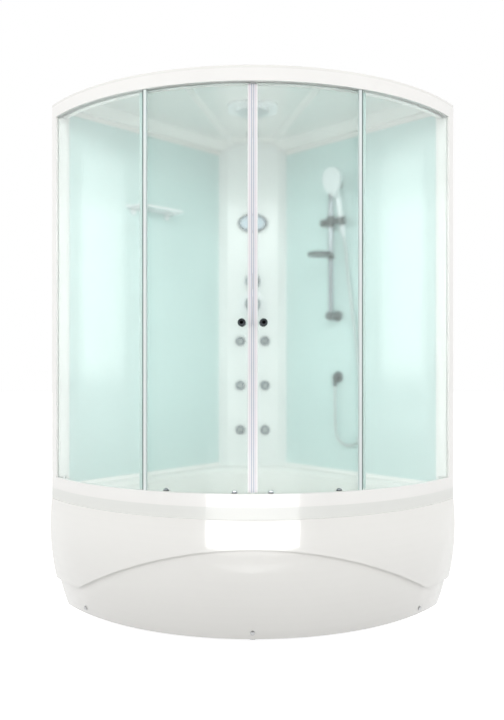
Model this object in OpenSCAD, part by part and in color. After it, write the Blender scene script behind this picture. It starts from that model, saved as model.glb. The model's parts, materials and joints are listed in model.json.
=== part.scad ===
// Hydromassage shower cabin with a quarter plan and one curved front.
// Origin: on the floor, in the middle of the cabin's width and depth. The front faces -Y.

/* [Plan] */
// Length of each wall side, from the back corner to the front post
side_len = 1200; // [1120:10:1280]
// Radius of the curved front, at the outer face of the rails
front_r = 1068; // [1020:4:1160]
// Radius of the rounded back corner of tray and roof
corner_r = 60; // [30:5:90]

/* [Heights] */
// Height of the tray's rim deck
tray_top = 518; // [480:2:560]
// Height of the bottom rail
bottom_rail_h = 48; // [44:1:60]
// Clear height of glass between the two rails
clear_h = 1509; // [1400:5:1600]
// Height of the top rail
top_rail_h = 47; // [44:1:60]
// Height from the top rail to the flat part of the ceiling
ceiling_rise = 38; // [30:1:60]
// Rise of the raised centre of the ceiling
dome_rise = 18; // [10:1:30]

/* [Tray] */
// Depth of the rolled rim
rim_h = 45; // [30:1:60]
// Thickness of the tray's shell
tray_t = 8; // [5:0.5:10]
// Width of the rim deck between the edge and the basin
deck_w = 90; // [84:1:110]
// Height of the basin's floor
basin_floor = 168; // [162:1:220]
// Height of the step around the top of the basin
step_h = 20; // [10:1:30]
// Radius of the basin's back corner
basin_r = 400; // [300:10:440]
// Distance of the waste from the front face of the rim
waste_from_front = 560; // [520:5:640]
// Outer radius of the waste outlet pipe
outlet_r = 20; // [16:0.5:25]
// Turn of the waste's outlet away from straight back, past the back foot
outlet_turn = 14; // [8:1:30]

/* [Apron] */
// How far the apron bulges past the rim
apron_bulge = 8; // [2:1:14]
// Radius of the apron's bulge, seen from the side
bulge_r = 1000; // [800:20:1300]
// Height of the bulge's furthest point
bulge_z = 368; // [330:2:400]
// Clearance under the apron
apron_z = 10; // [6:1:30]
// Thickness of the apron's sheet
apron_t = 5; // [3:0.5:7]
// Step from the upper band down to the skirt
skirt_step = 15; // [8:1:18]
// Height of the top of the arch
arch_top = 366; // [320:2:400]
// Radius of the arch
arch_r = 1190; // [1000:10:1400]
// Height of the straight edge beside the arch
band_low = 134; // [120:2:160]
// Height of the apron screws
screw_z = 38; // [34:1:60]

/* [Rails and glass] */
// Depth of both rails
rail_w = 54; // [54:1:60]
// Wall thickness of the rails
rail_t = 2.5; // [2:0.1:3]
// Thickness of the curved glass
glass_t = 6; // [5:0.5:6]
// Distance of the fixed glass behind the rail's face
fixed_in = 9; // [8.8:0.1:10]
// Distance of the door glass behind the rail's face
door_in = 29; // [28.5:0.1:30]
// Angle of the fixed glass's free edge, seen from the centre of the front curve
fixed_deg = 22.6; // [21.8:0.1:24]
// Overlap of each door behind the fixed glass, as an angle
overlap_deg = 1.6; // [1.2:0.1:3]
// Width of each magnetic seal at the middle
seal_w = 18.5; // [16:0.5:26]
// Width of the side posts
post_w = 42; // [36:1:50]

/* [Rollers and knobs] */
// Radius of the rollers at the bottom of the groove
roller_r = 9; // [8:0.2:9.6]
// Radius of the rollers' rims
roller_rim = 11.5; // [11:0.1:11.8]
// Radius of the rollers' axles
axle_r = 3; // [2.5:0.1:3.6]
// Radius of the round caps on the outside of the door glass
cap_r = 11; // [9:0.5:12]
// Angle of the rollers next to the door's closing edge
lead_deg = 3.7; // [3.2:0.1:5]
// Angle of the rollers next to the door's rear edge
trail_deg = 18.2; // [16:0.2:20]
// Height of the door knobs
knob_z = 1194; // [1000:2:1400]
// Radius of the door knobs
knob_r = 15; // [12:0.5:16]
// Angle of the knobs from the middle
knob_deg = 2.2; // [2:0.1:2.6]

/* [Walls and column] */
// Thickness of the wall panels
panel_t = 5; // [4:0.5:6]
// Gap between the wall line and the back of the panels
panel_gap = 18; // [17:0.5:22]
// Distance of the column's flat face from the back corner
column_in = 225; // [215:1:240]
// Half the width of the column's flat face
column_half = 128; // [122:1:136]
// Thickness of the column's moulding
column_t = 4; // [3:0.5:6]

/* [Column fittings] */
// Height of the oval panel
oval_z = 1753; // [1700:5:1850]
// Width of the oval panel
oval_w = 152; // [120:2:180]
// Height of the oval panel's ring
oval_h = 98; // [80:2:120]
// Height of the diverter
diverter_z = 1455; // [1453:1:1500]
// Radius of the diverter's plate
diverter_r = 43; // [38:1:45]
// Height of the mixer
mixer_z = 1338; // [1310:1:1340]
// Radius of the mixer's plate
mixer_r = 70; // [60:1:72]
// Radius of the mixer's cap
mixer_cap_r = 38; // [32:1:40]
// Length of the mixer's lever
lever_len = 92; // [70:1:110]
// Radius of the thread on the hot and cold inlets
inlet_r = 10.48; // [8:0.02:12]
// Distance between the hot and cold inlets
inlet_gap = 150; // [130:5:170]
// Sideways distance of the jets from the middle
jet_x = 63; // [56:1:76]
// Height of the lowest jets
jet_z = 700; // [640:5:760]
// Step between the rows of jets
jet_step = 226; // [190:2:240]
// Radius of the jets' rings
jet_r = 25; // [18:0.5:28]

/* [Ceiling fittings] */
// Distance of the overhead shower from the back corner
overhead_in = 700; // [600:5:760]
// Width of the overhead shower's plate
overhead_w = 220; // [180:2:260]
// Depth of the overhead shower's plate
overhead_d = 178; // [160:2:220]
// Radius of the round spray head
spray_r = 73; // [55:1:78]
// Distance of the ceiling light from the back corner
light_in = 315; // [308:1:360]
// Radius of the ceiling light
light_r = 32; // [24:1:36]

/* [Shelf, bar and hand shower] */
// Distance of the shelf's near end from the back corner, along the wall
shelf_u = 573; // [500:5:620]
// Length of the shelf
shelf_len = 266; // [240:2:400]
// Depth of the shelf
shelf_d = 100; // [80:2:130]
// Height of the shelf
shelf_z = 1750; // [1600:5:1800]
// Distance of the shower bar from the back corner, along the wall
bar_u = 602; // [590:1:640]
// Distance of the bar's axis from the panel
bar_off = 55; // [50:1:62]
// Radius of the shower bar
bar_r = 12.5; // [10:0.5:13]
// Height of the lower bar bracket
bar_z = 1265; // [1230:1:1290]
// Distance between the two bar brackets
bar_gap = 630; // [600:5:700]
// Height of the slider
slider_z = 1710; // [1700:1:1716]
// Distance of the hand shower's axis from the bar
holder_off = 63; // [61:0.5:66]
// Lean of the hand shower towards the cabin
lean_deg = 14; // [10:0.5:14.5]
// Height of the soap dish
dish_z = 1548; // [1500:1:1552]
// Height of the hose outlet on the wall
outlet_z = 975; // [965:1:985]
// Outer diameter of the shower hose
hose_d = 14; // [12:0.5:15]

/* [Hidden] */
$fn = 72;
big_fn = 240;
gap = 0.3;
run_gap = 0.05;
hole_gap = 0.5;
half_w = side_len / sqrt(2);
arc_c = half_w - sqrt(front_r * front_r - half_w * half_w);
arc_o = arc_c / sqrt(2);
end_deg = asin(half_w / front_r);
corner_cut = (sqrt(2) - 1) * corner_r;
corner_y = (arc_c + front_r + apron_bulge + corner_cut) / 2;
arc_y = corner_y - arc_c;
face_y = corner_y - column_in;
bottom_rail_z = tray_top;
bottom_open = tray_top + bottom_rail_h;
top_rail_z = bottom_open + clear_h;
roof_z = top_rail_z + top_rail_h;
ceiling_z = roof_z + ceiling_rise;
dome_z = ceiling_z + dome_rise;
roof_t = 5;
roof_lip = 10;
seat_gap = 0.05;
door_r = front_r - door_in;
fixed_r = front_r - fixed_in;
track_in = 42.5;
wheel_w = 8;
track_w = 2;
track_h = 3;
top_wheel_z = top_rail_z + 6 + track_h + gap + roller_r;
bottom_track_z = bottom_rail_z + bottom_rail_h - 14;
bottom_wheel_z = bottom_track_z + track_h + gap + roller_r;
door_low = bottom_rail_z + 14;
door_high = top_rail_z + 30;
door_edge_deg = fixed_deg + overlap_deg;
door_start_deg = (seal_w - 11) / door_r * 180 / PI;
glass_seat = 22;
panel_v = panel_gap + panel_t;
panel_low = tray_top + 5;
panel_front = arc_o + sqrt(pow(front_r - rail_w, 2) - pow(panel_v - arc_o, 2)) + 9;
panel_notch = panel_front - 10.5;
strip_w = 14;
strip_u = panel_front - 10 - strip_w;
column_edge = 268;
column_lap = 28;
skirt_z = roof_z - 19;
frame_z = basin_floor - tray_t - 40;
frame_h = 40;
tube_w = 30;
foot_in = 118;
foot_v = 130;
foot_u = side_len / 2 + 20;
front_foot_deg = 44;
front_foot_u = wall_u(polar([0, arc_y], front_r - foot_in, front_foot_deg - 90));
foot_rod_r = 6;
waste_y = arc_y - front_r + waste_from_front;
waste_r = 26;
socket_r = 12.4;
ball_r = 12;
slider_h = 52;
bar_v = panel_v + bar_off;
holder_u = bar_u + holder_off;
riser_in = 120;
lever_w = 22;
oval_rim = 12;
diverter_knob_r = 38;
diverter_body_r = 20;
diverter_depth = 60;
stem_r = 6;
valve_r = 30;
valve_depth = 70;
inlet_in = 55;
cross_r = 14;
inlet_len = 50;
jet_shank_r = 16;
jet_shank = 30;
throat_r = 10.7;
feed_r = 10;
plate_h = 12;
spray_h = 14;
feed_hole = feed_r + hole_gap;
cap_len = 38;
pivot_d = 30;
handle_down = 45;
handle_up = 105;
nut_len = 30;
head_z = 182;
head_v = 16;
cove_w = 92;

// Route of the shower hose as [along the wall, out from the wall, height]
hose_route = [
    [665, 60, 1637], [665, 50, 1597], [666, 43, 1555], [669, 40, 1500], [676, 38, 1430],
    [687, 36, 1350], [700, 35, 1260], [712, 34, 1170], [723, 34, 1080], [733, 34, 990],
    [740, 34, 900], [743, 34, 810], [743, 34, 730], [734, 35, 690], [708, 36, 662],
    [674, 38, 652], [640, 40, 662], [614, 43, 690], [605, 46, 730], [604, 49, 800],
    [605, 50, 870], [605, 50, 931]
];

hose_end = hose_route[len(hose_route) - 1];
outlet_u = hose_end[0];
outlet_v = hose_end[1];

// A point on a wall as [along the wall, out from the wall], in plan
function wall_xy(u, v, side) = [side * (u - v) / sqrt(2), corner_y - (u + v) / sqrt(2)];
function wall_xyz(p, side) = concat(wall_xy(p[0], p[1], side), [p[2]]);
// How far along the wall a point in plan lies
function wall_u(p) = (abs(p[0]) + corner_y - p[1]) / sqrt(2);
function polar(c, r, a) = [c[0] + r * cos(a), c[1] + r * sin(a)];
function arc_pts(c, r, a0, a1, n) = [for (i = [0:n]) polar(c, r, a0 + (a1 - a0) * i / n)];
function flip_x(p) = [-p[0], p[1]];
// Where the line through p along d meets the line through q along e
function cross2(a, b) = a[0] * b[1] - a[1] * b[0];
function meet(p, d, q, e) = p + d * cross2(q - p, e) / cross2(d, e);
// Angle at which a curve of radius r stands v from the wall line
function end_at(r, v) = acos((v * sqrt(2) - arc_c) / (r * sqrt(2))) - 45;
// Radius of the apron's outer surface at height z
function apron_out(z) = front_r + apron_bulge - bulge_r + sqrt(pow(bulge_r, 2) - pow(z - bulge_z, 2));
function apron_slope(z) = asin((bulge_z - z) / bulge_r);

// Centre of the outline's rounded front end, for an outline that lies inset from the edge
function end_centre(inset, r) = wall_xy(
    arc_o + sqrt(pow(front_r - inset - r, 2) - pow(inset + r - arc_o, 2)), inset + r, 1);
function outline(inset, back_r, end_r) =
    let (
        o = [0, arc_y],
        e = end_centre(inset, end_r),
        a = atan2(e[1] - arc_y, e[0]),
        b = [0, corner_y - sqrt(2) * (inset + back_r)]
    )
    concat(
        arc_pts(o, front_r - inset, -180 - a, a, 32),
        arc_pts(e, end_r, a, 45, 8),
        arc_pts(b, back_r, 45, 135, 12),
        arc_pts(flip_x(e), end_r, 135, 180 - a, 8)
    );

// Frames of reference
module at_arc(deg, z = 0) translate([0, arc_y, z]) rotate(deg) children();
module radial_out(r) translate([0, -r, 0]) rotate([90, 0, 0]) children();
module on_wall(side) mirror([side > 0 ? 1 : 0, 0, 0]) translate([0, corner_y, 0]) rotate(225) children();
module both_sides() {
    children();
    mirror([1, 0, 0]) children();
}
module on_column(x, z) translate([x, face_y, z]) rotate([90, 0, 0]) children();

// A profile in [radius, height], swept about the centre of the front curve
module front_sweep(a0, a1) translate([0, arc_y, 0]) rotate(a0 - 90)
    rotate_extrude(angle = a1 - a0, $fn = big_fn) children();
module block(r0, r1, z0, z1) translate([r0, z0]) square([r1 - r0, z1 - z0]);
module glass_sweep(r, a0, a1, z0, z1) front_sweep(a0, a1) block(r - glass_t, r, z0, z1);

// Plan of the cabin, inset from its edge
module wedge(inset) translate([0, corner_y]) rotate(225) translate([inset, inset]) square(2 * front_r);
module plan(inset) intersection() {
    translate([0, arc_y]) circle(r = front_r - inset, $fn = big_fn);
    translate([0, corner_y]) rotate(225) difference() {
        translate([inset, inset]) square(2 * front_r);
        translate([inset, inset]) difference() {
            translate([-1, -1]) square(corner_r - inset * 0.5 + 1);
            translate([1, 1] * (corner_r - inset * 0.5)) circle(r = corner_r - inset * 0.5);
        }
    }
}
module slice(z, h = 1) translate([0, 0, z]) linear_extrude(h) children();

// Pipe through a list of points, with a round elbow at each bend
module pipe(pts, r) {
    $fn = 24;
    for (i = [0:len(pts) - 2]) {
        d = pts[i + 1] - pts[i];
        translate(pts[i]) rotate([0, acos(d[2] / norm(d)), atan2(d[1], d[0])]) cylinder(h = norm(d), r = r);
    }
    for (i = [1:1:len(pts) - 2]) translate(pts[i]) sphere(r = 1.2 * r);
}

// Closed tube along a smooth curve through the points
function spline(p, i, t) =
    let (
        n = len(p) - 1,
        a = p[max(i - 1, 0)], b = p[i], c = p[min(i + 1, n)], d = p[min(i + 2, n)]
    )
    0.5 * (2 * b + (c - a) * t + (2 * a - 5 * b + 4 * c - d) * t * t
        + (3 * b - a - 3 * c + d) * t * t * t);
function unit(v) = v / norm(v);
module tube(pts, r, n) {
    last = len(pts) - 1;
    rings = [for (i = [0:last]) let (
            t = unit(pts[min(i + 1, last)] - pts[max(i - 1, 0)]),
            s = unit(cross(t, [1, 1, 0])),
            w = cross(t, s)
        ) for (k = [0:n - 1]) pts[i] + r * (cos(360 * k / n) * s + sin(360 * k / n) * w)];
    walls = [for (i = [0:last - 1]) for (k = [0:n - 1]) for (half = [0, 1])
        let (a = i * n + k, b = i * n + (k + 1) % n)
        half == 0 ? [a, b, b + n] : [a, b + n, a + n]];
    ends = [for (k = [1:n - 2]) each [[0, k + 1, k], [last * n, last * n + k, last * n + k + 1]]];
    polyhedron(rings, concat(walls, ends), convexity = 6);
}

// Tray

module basin(t) hull() {
    slice(tray_top - step_h - t) polygon(outline(deck_w + 24 - t, basin_r, 110));
    slice(tray_top - step_h - 60 - t) polygon(outline(deck_w + 32 - t, basin_r, 110));
    slice(basin_floor + 40 - t) polygon(outline(deck_w + 62 - t, basin_r - 20, 110));
    slice(basin_floor + 12 - t) polygon(outline(deck_w + 80 - t, basin_r - 40, 110));
    slice(basin_floor - t) polygon(outline(deck_w + 108 - t, basin_r - 60, 110));
}
module basin_step(t) hull() {
    slice(tray_top - step_h - t) polygon(outline(deck_w + 6 - t, basin_r, 110));
    slice(tray_top - 1) polygon(outline(deck_w - t, basin_r, 110));
}
module tray() color("white") difference() {
    union() {
        slice(tray_top - tray_t, tray_t) plan(0);
        slice(tray_top - rim_h, rim_h - 1) difference() {
            plan(0);
            plan(tray_t);
        }
        basin(tray_t);
        basin_step(tray_t);
    }
    basin(0);
    basin_step(0);
    slice(tray_top - 1.5, 3) polygon(outline(deck_w, basin_r, 110));
    translate([0, waste_y, basin_floor - 3 * tray_t]) cylinder(h = 6 * tray_t, r = waste_r + hole_gap);
}

// Apron: a bulging band with an arch cut in it, over a skirt that lies a step further in
apron_end = end_at(front_r + apron_bulge, 1.5);
module apron_sheet(d0, d1, z0, z1) front_sweep(-apron_end, apron_end) {
    steps = 14;
    zs = [for (i = [0:steps]) z0 + (z1 - z0) * i / steps];
    polygon(concat(
        [for (z = zs) [apron_out(z) - d0, z]],
        [for (i = [steps:-1:0]) [apron_out(zs[i]) - d1, zs[i]]]
    ));
}
module recess(g) union() {
    translate([0, 0, arch_top - arch_r]) rotate([90, 0, 0])
        cylinder(h = 2 * front_r, r = arch_r + g, $fn = big_fn);
    translate([-front_r, -2 * front_r, apron_z - 1])
        cube([2 * front_r, 2 * front_r, band_low - apron_z + 1 + g]);
}
screw_angles = [-43, 0, 43];
module at_screw(deg) at_arc(deg, screw_z) translate([0, -(apron_out(screw_z) - skirt_step), 0])
    rotate([90 + apron_slope(screw_z), 0, 0]) children();
module apron() color("white") {
    top = tray_top - rim_h - gap;
    inner = skirt_step + apron_t;
    difference() {
        apron_sheet(0, apron_t, apron_z, top);
        recess(0);
    }
    intersection() {
        apron_sheet(0, inner, apron_z, top);
        difference() {
            recess(apron_t);
            recess(0);
        }
    }
    difference() {
        intersection() {
            apron_sheet(skirt_step, inner, apron_z, top);
            recess(apron_t);
        }
        for (a = screw_angles) at_screw(a) cylinder(h = 40, r = 3 + hole_gap, center = true);
    }
}
module apron_screws() color("silver") for (a = screw_angles) at_screw(a) {
    translate([0, 0, 0.4]) cylinder(h = 3, r = 9);
    translate([0, 0, 3.4]) cylinder(h = 2, r1 = 9, r2 = 6.5);
    translate([0, 0, -22]) cylinder(h = 22.4, r = 3);
}

// Base frame of steel tube, its feet and brackets
function foot_points() = [
    [0, corner_y - 230], wall_xy(foot_u, foot_v, 1), wall_xy(foot_u, foot_v, -1),
    polar([0, arc_y], front_r - foot_in, front_foot_deg - 90),
    polar([0, arc_y], front_r - foot_in, -front_foot_deg - 90),
    [0, arc_y - front_r + foot_in]
];
module beam(a, b) {
    d = b - a;
    translate(a) rotate(atan2(d[1], d[0]))
        translate([-tube_w / 2, -tube_w / 2]) square([norm(d) + tube_w, tube_w]);
}
module upright(p, a) translate([p[0], p[1], frame_z + 5]) rotate(a)
    translate([-12, -12, 0]) cube([24, 24, tray_top - tray_t - frame_z - 5]);
module frame_plan() {
    f = foot_points();
    back_y = f[1][1];
    front_tie_y = waste_y - 170;
    rib_x = 190;
    beam(f[0], f[1]);
    beam(f[0], f[2]);
    beam(f[1], f[3]);
    beam(f[2], f[4]);
    beam(f[3], f[5]);
    beam(f[4], f[5]);
    beam(f[2], f[1]);
    for (s = [-1, 1]) beam([s * rib_x, back_y], [s * rib_x, front_tie_y]);
    beam([-rib_x * 2.6, front_tie_y], [rib_x * 2.6, front_tie_y]);
    for (s = [-1, 1]) {
        beam(wall_xy(foot_u, foot_v, s), wall_xy(foot_u, 45, s));
        beam(f[s > 0 ? 3 : 4], wall_xy(front_foot_u, 45, s));
    }
    beam(f[0], [0, corner_y - 80]);
    for (a = [-22, 0, 22])
        beam(polar([0, arc_y], front_r - foot_in - (a == 0 ? 0 : 70), a - 90),
            polar([0, arc_y], front_r - 66, a - 90));
}
module base_frame() color("dimgray") difference() {
    union() {
        slice(frame_z, frame_h) frame_plan();
        for (s = [-1, 1], u = [foot_u, front_foot_u]) upright(wall_xy(u, 34, s), 45);
        upright([0, corner_y - 80], 45);
        for (a = [-22, 0, 22]) upright(polar([0, arc_y], front_r - 66, a - 90), a);
        for (a = screw_angles) {
            at_arc(a) translate([-15, -(front_r - 90), screw_z - 12])
                cube([30, 14, frame_z + frame_h - screw_z + 7]);
            at_screw(a) translate([0, 0, -apron_t - gap - 36]) cylinder(h = 36, r = 9);
        }
    }
    for (p = foot_points()) translate([p[0], p[1], frame_z - 1]) cylinder(h = 32, r = foot_rod_r + gap);
    for (a = screw_angles) at_screw(a) translate([0, 0, -25]) cylinder(h = 50, r = 3 + gap);
}
module levelling_feet() color("gray") for (p = foot_points()) translate([p[0], p[1], 0]) {
    cylinder(h = 8, r = 25);
    translate([0, 0, 8]) cylinder(h = 8, r1 = 25, r2 = 12);
    translate([0, 0, 16]) cylinder(h = frame_z + 10, r = foot_rod_r);
    translate([0, 0, frame_z - 10]) difference() {
        cylinder(h = 10, r = 11, $fn = 6);
        translate([0, 0, -1]) cylinder(h = 12, r = foot_rod_r + 0.15);
    }
}

// Waste, trap and plug
trap_z = basin_floor - tray_t - 100;
spigot_z = trap_z + 22;
spigot_len = 120;
socket_depth = 60;
module drain_body() color("silver") translate([0, waste_y, 0]) {
    difference() {
        union() {
            translate([0, 0, basin_floor]) cylinder(h = 2.5, r = 43);
            translate([0, 0, trap_z + 40]) cylinder(h = basin_floor - trap_z - 40, r = waste_r);
            translate([0, 0, basin_floor - tray_t - 14]) cylinder(h = 13.7, r = 40);
            translate([0, 0, trap_z]) cylinder(h = 50, r = 46);
            translate([0, 0, spigot_z]) rotate([-90, 0, -outlet_turn]) {
                cylinder(h = spigot_len, r = outlet_r);
                cylinder(h = spigot_len - socket_depth, r = outlet_r + 3);
            }
        }
        translate([0, 0, trap_z + 4]) cylinder(h = basin_floor - trap_z, r = waste_r - 4);
        translate([0, 0, spigot_z]) rotate([-90, 0, -outlet_turn])
            cylinder(h = spigot_len + 1, r = outlet_r - 2.5);
    }
}
module drain_plug() color("silver") translate([0, waste_y, basin_floor + 2.8]) {
    cylinder(h = 3, r = 34);
    translate([0, 0, 3]) cylinder(h = 4, r1 = 34, r2 = 24);
    translate([0, 0, -46]) cylinder(h = 47, r = 5);
}

// Rails: a tall face, a groove for the fixed glass and a track for the rollers
module rail_section(z, h, open_up, track_z) {
    f = front_r;
    groove_out = f - fixed_in + gap;
    groove_in = f - fixed_in - glass_t - gap;
    seat = open_up ? h - glass_seat : glass_seat;
    web = open_up ? z : z + h - rail_t;
    low = open_up ? z + seat - rail_t : z;
    high = open_up ? z + h : z + seat + rail_t;
    block(f - rail_t, f, z, z + h);
    block(f - rail_w, f, web, web + rail_t);
    block(groove_out, groove_out + rail_t, low, high);
    block(groove_in - rail_t, groove_in, low, high);
    block(groove_in - rail_t, f, open_up ? low : high - rail_t, open_up ? low + rail_t : high);
    block(groove_out, f, open_up ? high - rail_t : low, open_up ? high : low + rail_t);
    block(f - rail_w, f - rail_w + rail_t, z, open_up ? track_z : z + h);
    block(f - rail_w, f - track_in + 4.5, track_z - 3, track_z);
    block(f - track_in - track_w / 2, f - track_in + track_w / 2, track_z - 1, track_z + track_h);
}
module rail(z, h, open_up, track_z) {
    front_sweep(-end_deg, end_deg) rail_section(z, h, open_up, track_z);
    for (s = [-1, 1]) front_sweep(s * (end_deg - 0.2) - 0.1, s * (end_deg - 0.2) + 0.1)
        block(front_r - rail_w + 1, front_r - 1, z + 1, z + h - 1);
}
module top_rail() color("white") rail(top_rail_z, top_rail_h, false, top_rail_z + 6);
module bottom_rail() color("white") rail(bottom_rail_z, bottom_rail_h, true, bottom_track_z);

// Side posts that close the front at both walls: hollow profiles with a groove for the glass
module post_part(out, in, v0, v1) intersection() {
    difference() {
        translate([0, arc_y]) circle(r = front_r - out, $fn = big_fn);
        translate([0, arc_y]) circle(r = front_r - in, $fn = big_fn);
    }
    translate([0, corner_y]) rotate(225) translate([0, v0]) square([2 * front_r, v1 - v0]);
}
module side_posts() both_sides() difference() {
    slice(bottom_open, clear_h) post_part(0, rail_w, 0, post_w);
    slice(bottom_open - 1, clear_h + 2)
        post_part(rail_t, rail_w - rail_t, rail_t, panel_gap - gap - rail_t);
    slice(bottom_open - 1, clear_h + 2)
        post_part(fixed_in + glass_t + gap + rail_t, rail_w - rail_t, panel_v + gap + rail_t,
            post_w - rail_t);
    slice(bottom_open - 1, clear_h + 2) difference() {
        translate([0, arc_y]) circle(r = fixed_r + gap, $fn = big_fn);
        translate([0, arc_y]) circle(r = fixed_r - glass_t - gap, $fn = big_fn);
        translate([0, corner_y]) rotate(225) square([2 * front_r, post_w - 12]);
    }
    slice(bottom_open - 1, clear_h + 2) translate([0, corner_y]) rotate(225)
        translate([0, panel_gap - gap]) square([panel_front + gap, panel_t + 2 * gap]);
}
// Wall panels and the strips on their edges
module wall_panels() color("#C5DFD8") for (s = [-1, 1]) on_wall(s) difference() {
    union() {
        translate([column_edge - 36, panel_gap, panel_low])
            cube([panel_notch - column_edge + 36, panel_t, skirt_z + 7 - panel_low]);
        translate([panel_notch - 1, panel_gap, bottom_open + gap])
            cube([panel_front - panel_notch + 1, panel_t, clear_h - 2 * gap]);
    }
    if (s > 0) translate([outlet_u, panel_gap - 1, outlet_z]) rotate([-90, 0, 0])
        cylinder(h = panel_t + 2, r = 10 + hole_gap);
}
module edge_profiles() color("white") {
    side_posts();
    for (s = [-1, 1]) on_wall(s) wall_strips();
}
module wall_strips() {
    difference() {
        translate([column_edge + 2, panel_gap - 4, tray_top])
            cube([strip_u - column_edge - 3, panel_t + 12, 15]);
        translate([column_edge, panel_gap - gap, panel_low - gap]) cube([side_len, panel_t + 2 * gap, 20]);
    }
    translate([strip_u, panel_v + gap, tray_top]) cube([strip_w, 8, skirt_z - tray_top - gap]);
}

// Corner column: a folded moulding that lies on both wall panels
module column_plan() {
    a = [column_half, face_y];
    b = wall_xy(column_edge, panel_v + gap, 1);
    along = unit(b - a);
    in = [-along[1], along[0]];
    wall_dir = unit([-1, 1]);
    a_in = meet([0, face_y + column_t], [1, 0], a + in * column_t, along);
    e = meet(a + in * column_t, along, wall_xy(column_edge, panel_v + gap + column_t, 1), wall_dir);
    half = [a, b, wall_xy(column_edge - column_lap, panel_v + gap, 1),
        wall_xy(column_edge - column_lap, panel_v + gap + column_t, 1), e, a_in];
    polygon(concat(half, [for (i = [5:-1:0]) flip_x(half[i])]));
}
column_top = ceiling_z - gap;
module corner_column() color("white") difference() {
    slice(tray_top, column_top - tray_top) column_plan();
    for (s = [-1, 1], i = [0:2]) on_column(s * jet_x, jet_z + i * jet_step)
        cylinder(h = 60, r = jet_shank_r + hole_gap, center = true);
    on_column(0, diverter_z) cylinder(h = 60, r = diverter_body_r + hole_gap, center = true);
    on_column(0, mixer_z) cylinder(h = 60, r = valve_r + hole_gap, center = true);
    on_column(0, oval_z) cylinder(h = 60, r = 10, center = true);
}

// Curved glass
module fixed_glass() color("#DDEFEA", 0.5) both_sides()
    glass_sweep(fixed_r, fixed_deg, end_at(fixed_r, post_w - 11.5),
        bottom_open - glass_seat + gap, top_rail_z + glass_seat - gap);
module fixed_glass_seals() color("#D8DCE8") both_sides() difference() {
    front_sweep(fixed_deg - 0.4, fixed_deg + 0.5)
        block(fixed_r - glass_t - 1.7, fixed_r + 1.7, bottom_open + gap, top_rail_z - gap);
    front_sweep(fixed_deg - 0.02, fixed_deg + 1)
        block(fixed_r - glass_t - 0.15, fixed_r + 0.15, bottom_open - 5, top_rail_z + 5);
}
module door_glass() difference() {
    glass_sweep(door_r, door_start_deg, door_edge_deg, door_low, door_high);
    at_arc(knob_deg, knob_z) radial_out(0) cylinder(h = 2 * front_r, r = 5 + hole_gap);
    for (a = [lead_deg, trail_deg], z = [top_wheel_z, bottom_wheel_z])
        at_arc(a, z) radial_out(0) cylinder(h = 2 * front_r, r = 5 + hole_gap);
}
module left_door_glass() color("#DDEFEA", 0.5) mirror([1, 0, 0]) door_glass();
module right_door_glass() color("#DDEFEA", 0.5) door_glass();

// Seals on both edges of a door: a clip over the glass and a nose
module clip(r, a_edge, dir, arm, nose) {
    low = bottom_open + 2;
    high = top_rail_z - 2;
    deg = 180 / PI / r;
    a_tip = a_edge - dir * nose * deg;
    a_arm = a_edge + dir * arm * deg;
    difference() {
        front_sweep(min(a_tip, a_arm), max(a_tip, a_arm)) block(r - glass_t - 2, r + 2, low, high);
        front_sweep(min(a_edge - dir * 0.3 * deg, a_arm + dir * 2 * deg),
            max(a_edge - dir * 0.3 * deg, a_arm + dir * 2 * deg))
            block(r - glass_t - 0.15, r + 0.15, low - 1, high + 1);
    }
}
module door_seals() {
    clip(door_r, door_start_deg, 1, 11, seal_w - 11.4);
    clip(door_r, door_edge_deg, -1, 9, 3);
}
module left_door_seals() color("#D8DCE8") mirror([1, 0, 0]) door_seals();
module right_door_seals() color("#D8DCE8") door_seals();

// Door knobs: a turned ball on each face, joined through the glass
module knob_ball() {
    cylinder(h = 3, r = 8);
    cylinder(h = 14, r = 5.5);
    translate([0, 0, 29 - knob_r + 1]) intersection() {
        sphere(r = knob_r);
        translate([0, 0, -knob_r + 1.5]) cylinder(h = 2 * knob_r - 3, r = knob_r + 1);
    }
}
module door_knob() at_arc(knob_deg, knob_z) {
    radial_out(door_r + 0.05) knob_ball();
    radial_out(door_r - glass_t - 0.05) mirror([0, 0, 1]) knob_ball();
    radial_out(door_r - glass_t - 1) cylinder(h = glass_t + 2, r = 5);
}
module left_door_knob() color("silver") mirror([1, 0, 0]) door_knob();
module right_door_knob() color("silver") door_knob();

// Roller carriers: a cap outside the glass, a spacer inside and the axle
wheel_in = track_in - wheel_w / 2;
module carrier() {
    r_in = door_r - glass_t - 0.05;
    r_wheel = front_r - wheel_in;
    radial_out(door_r + 0.05) {
        cylinder(h = 4, r = cap_r);
        translate([0, 0, 4]) cylinder(h = 2, r1 = cap_r, r2 = cap_r - 2);
    }
    radial_out(r_wheel + gap) cylinder(h = door_r - r_wheel - gap + 1, r = 5);
    radial_out(r_wheel - wheel_w - gap) cylinder(h = door_r - r_wheel + wheel_w + gap, r = axle_r);
    radial_out(r_wheel - wheel_w - gap - 2) cylinder(h = 2, r = 5.5);
    radial_out(r_in - 2) cylinder(h = 2, r = 7);
}
module carriers() for (a = [lead_deg, trail_deg], z = [top_wheel_z, bottom_wheel_z]) at_arc(a, z) carrier();
module left_roller_carriers() color("silver") mirror([1, 0, 0]) carriers();
module right_roller_carriers() color("silver") carriers();

// Grooved rollers
module roller(a, z) color("white") at_arc(a, z) radial_out(front_r - wheel_in - wheel_w) rotate_extrude()
    difference() {
        block(axle_r + run_gap, roller_rim, 0, wheel_w);
        polygon([[roller_r, wheel_w / 2 - track_w / 2 - 0.5], [roller_r, wheel_w / 2 + track_w / 2 + 0.5],
            [roller_rim + 1, wheel_w - 1.4], [roller_rim + 1, 1.4]]);
    }

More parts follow.
